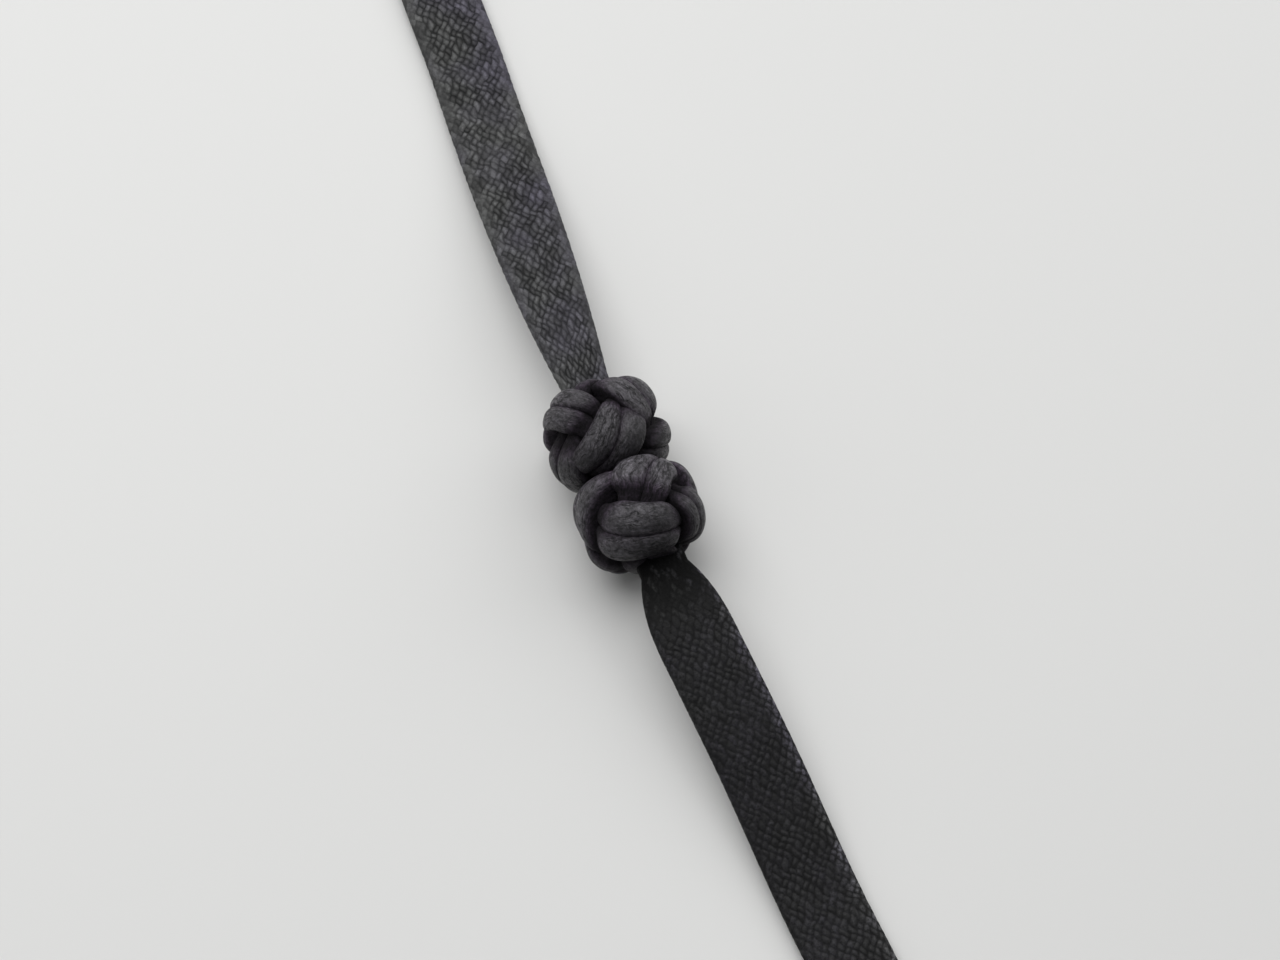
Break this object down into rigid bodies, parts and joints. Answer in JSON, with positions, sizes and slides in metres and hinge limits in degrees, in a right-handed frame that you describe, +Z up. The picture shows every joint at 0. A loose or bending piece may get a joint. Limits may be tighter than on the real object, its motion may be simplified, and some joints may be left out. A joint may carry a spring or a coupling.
{
  "type": "flat woven cord necklace with sliding button knots",
  "caption": "Flat black woven cord laid as a necklace loop, closed by two sliding button knots drawn together at the back.",
  "frame": {"origin": "middle of the bounding box, on the surface the loop lies on", "axes": "+Z up from the surface; +Y from the wearer's front of the loop to the knots at the back; X along the cord where it runs through the knots"},
  "size_m": [0.212, 0.2387, 0.0082],
  "materials": {
    "woven_cord": "waxed flat tubular braid, black, soft satin sheen, fine slanted picks",
    "knotted_cord": "the same waxed braid creased lengthwise into ribs and drawn tight"
  },
  "bodies": {
    "root": {"woven_cord": "woven_cord", "button_knot_left": "knotted_cord", "button_knot_right": "knotted_cord"}
  },
  "joints": []
}
